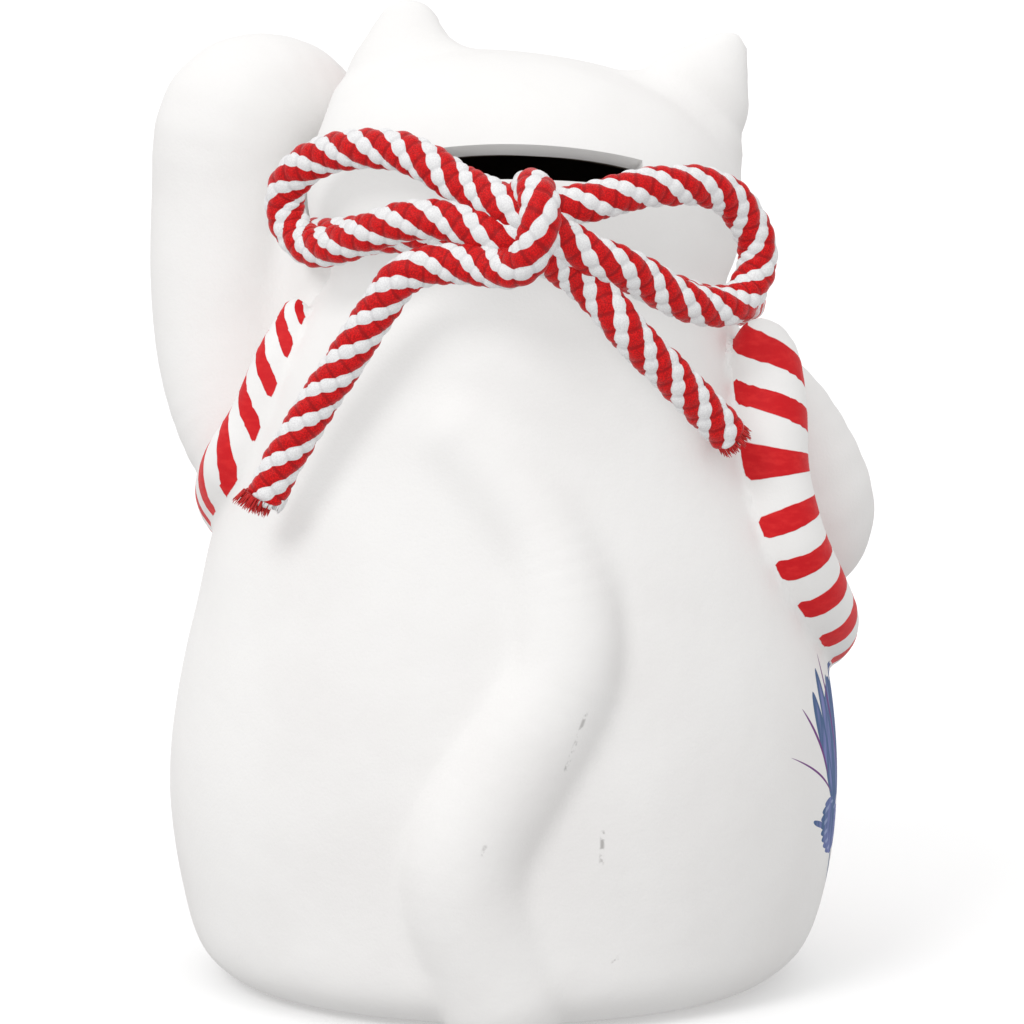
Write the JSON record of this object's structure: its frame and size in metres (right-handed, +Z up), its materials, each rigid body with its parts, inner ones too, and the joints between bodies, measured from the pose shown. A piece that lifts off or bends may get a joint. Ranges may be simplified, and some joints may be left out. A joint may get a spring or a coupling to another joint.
{
  "type": "beckoning cat figurine",
  "caption": "Hollow ceramic beckoning cat coin bank with one paw raised, a braided cord collar tied in a bow at the back, a small bell and a base stopper.",
  "frame": {"origin": "centre of the base, on the surface the cat stands on", "axes": "+Z up, the cat looks along -Y, +X is the side of the raised paw"},
  "size_m": [0.1186, 0.1083, 0.1576],
  "materials": {
    "ceramic_white": "unglazed, matt, very fine grain",
    "ceramic_striped": "hand-painted red stripes on white unglazed ceramic",
    "cord_braid": "red and white braided satin cord",
    "bell_brass": "polished, pressed sheet",
    "pellet_steel": "plain steel ball",
    "stopper_rubber": "moulded soft rubber"
  },
  "bodies": {
    "figurine": {"body_shell": "ceramic_white", "raised_arm": "ceramic_white", "resting_arm": "ceramic_white", "garland": "ceramic_striped", "tail_relief": "ceramic_white", "cord_neck": "cord_braid", "cord_knot": "cord_braid", "cord_loop_left": "cord_braid", "cord_loop_right": "cord_braid", "cord_end_left": "cord_braid", "cord_end_right": "cord_braid"},
    "stopper": {"stopper": "stopper_rubber"},
    "bell": {"bell_upper": "bell_brass", "bell_lower": "bell_brass"},
    "pellet": {"bell_pellet": "pellet_steel"}
  },
  "joints": [
    {"name": "stopper_pull", "type": "slide", "parent": "figurine", "child": "stopper", "axis": [0, 0, -1], "range_m": [0, 0.02]},
    {"name": "bell_swing", "type": "hinge", "parent": "figurine", "child": "bell", "pos_m": [-0.002, -0.04, 0.103], "axis": [-1, 0, 0], "range_deg": [0, 60]},
    {"name": "pellet_rattle", "type": "slide", "parent": "bell", "child": "pellet", "axis": [0, 0.5736, 0.8192], "range_m": [0, 0.006]}
  ]
}
